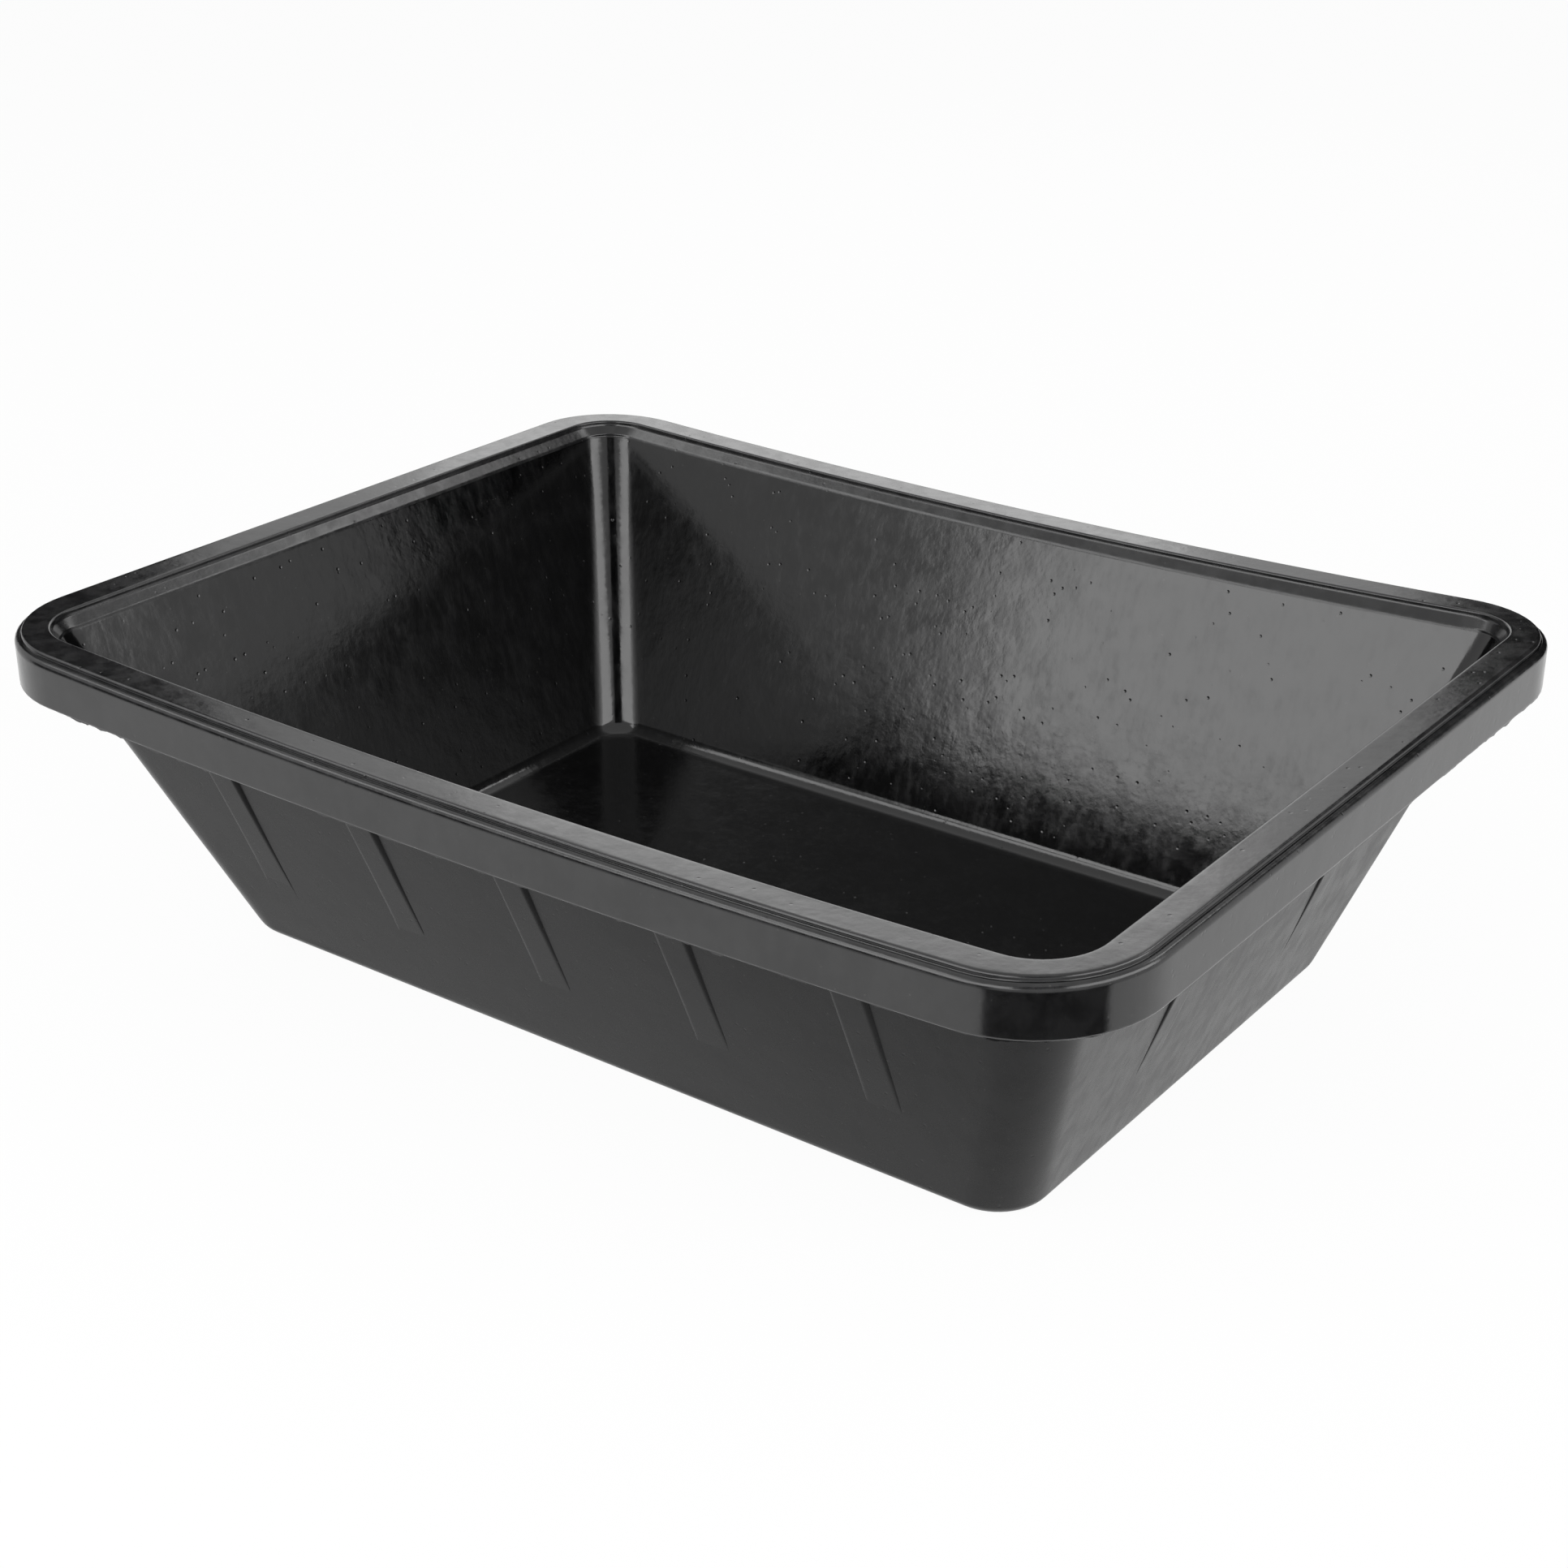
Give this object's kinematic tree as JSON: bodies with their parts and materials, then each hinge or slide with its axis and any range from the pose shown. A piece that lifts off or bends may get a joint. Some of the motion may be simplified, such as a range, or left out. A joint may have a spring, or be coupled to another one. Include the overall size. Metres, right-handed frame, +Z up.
{
  "type": "mortar mixing tub",
  "caption": "Shallow black moulded mortar mixing tub with splayed walls, a flat rim turned down into a skirt, and tapered stacking ribs under the rim.",
  "frame": {"origin": "on the ground at the middle of the base", "axes": "+X along the tub's length, +Y across it, +Z up out of the mouth"},
  "size_m": [0.66, 0.505, 0.184],
  "materials": {
    "moulded_black": "semi-gloss black, finely pitted and mottled as moulded"
  },
  "bodies": {
    "root": {"floor_panel": "moulded_black", "front_left_rim_corner": "moulded_black", "front_left_wall_corner": "moulded_black", "front_right_rim_corner": "moulded_black", "front_right_wall_corner": "moulded_black", "front_rim_rail": "moulded_black", "front_stacking_rib_1": "moulded_black", "front_stacking_rib_2": "moulded_black", "front_stacking_rib_3": "moulded_black", "front_stacking_rib_4": "moulded_black", "front_stacking_rib_5": "moulded_black", "front_wall": "moulded_black", "left_rim_rail": "moulded_black", "left_stacking_rib_1": "moulded_black", "left_stacking_rib_2": "moulded_black", "left_wall": "moulded_black", "rear_left_rim_corner": "moulded_black", "rear_left_wall_corner": "moulded_black", "rear_right_rim_corner": "moulded_black", "rear_right_wall_corner": "moulded_black", "rear_rim_rail": "moulded_black", "rear_stacking_rib_1": "moulded_black", "rear_stacking_rib_2": "moulded_black", "rear_stacking_rib_3": "moulded_black", "rear_stacking_rib_4": "moulded_black", "rear_stacking_rib_5": "moulded_black", "rear_wall": "moulded_black", "right_rim_rail": "moulded_black", "right_stacking_rib_1": "moulded_black", "right_stacking_rib_2": "moulded_black", "right_wall": "moulded_black"}
  },
  "joints": []
}
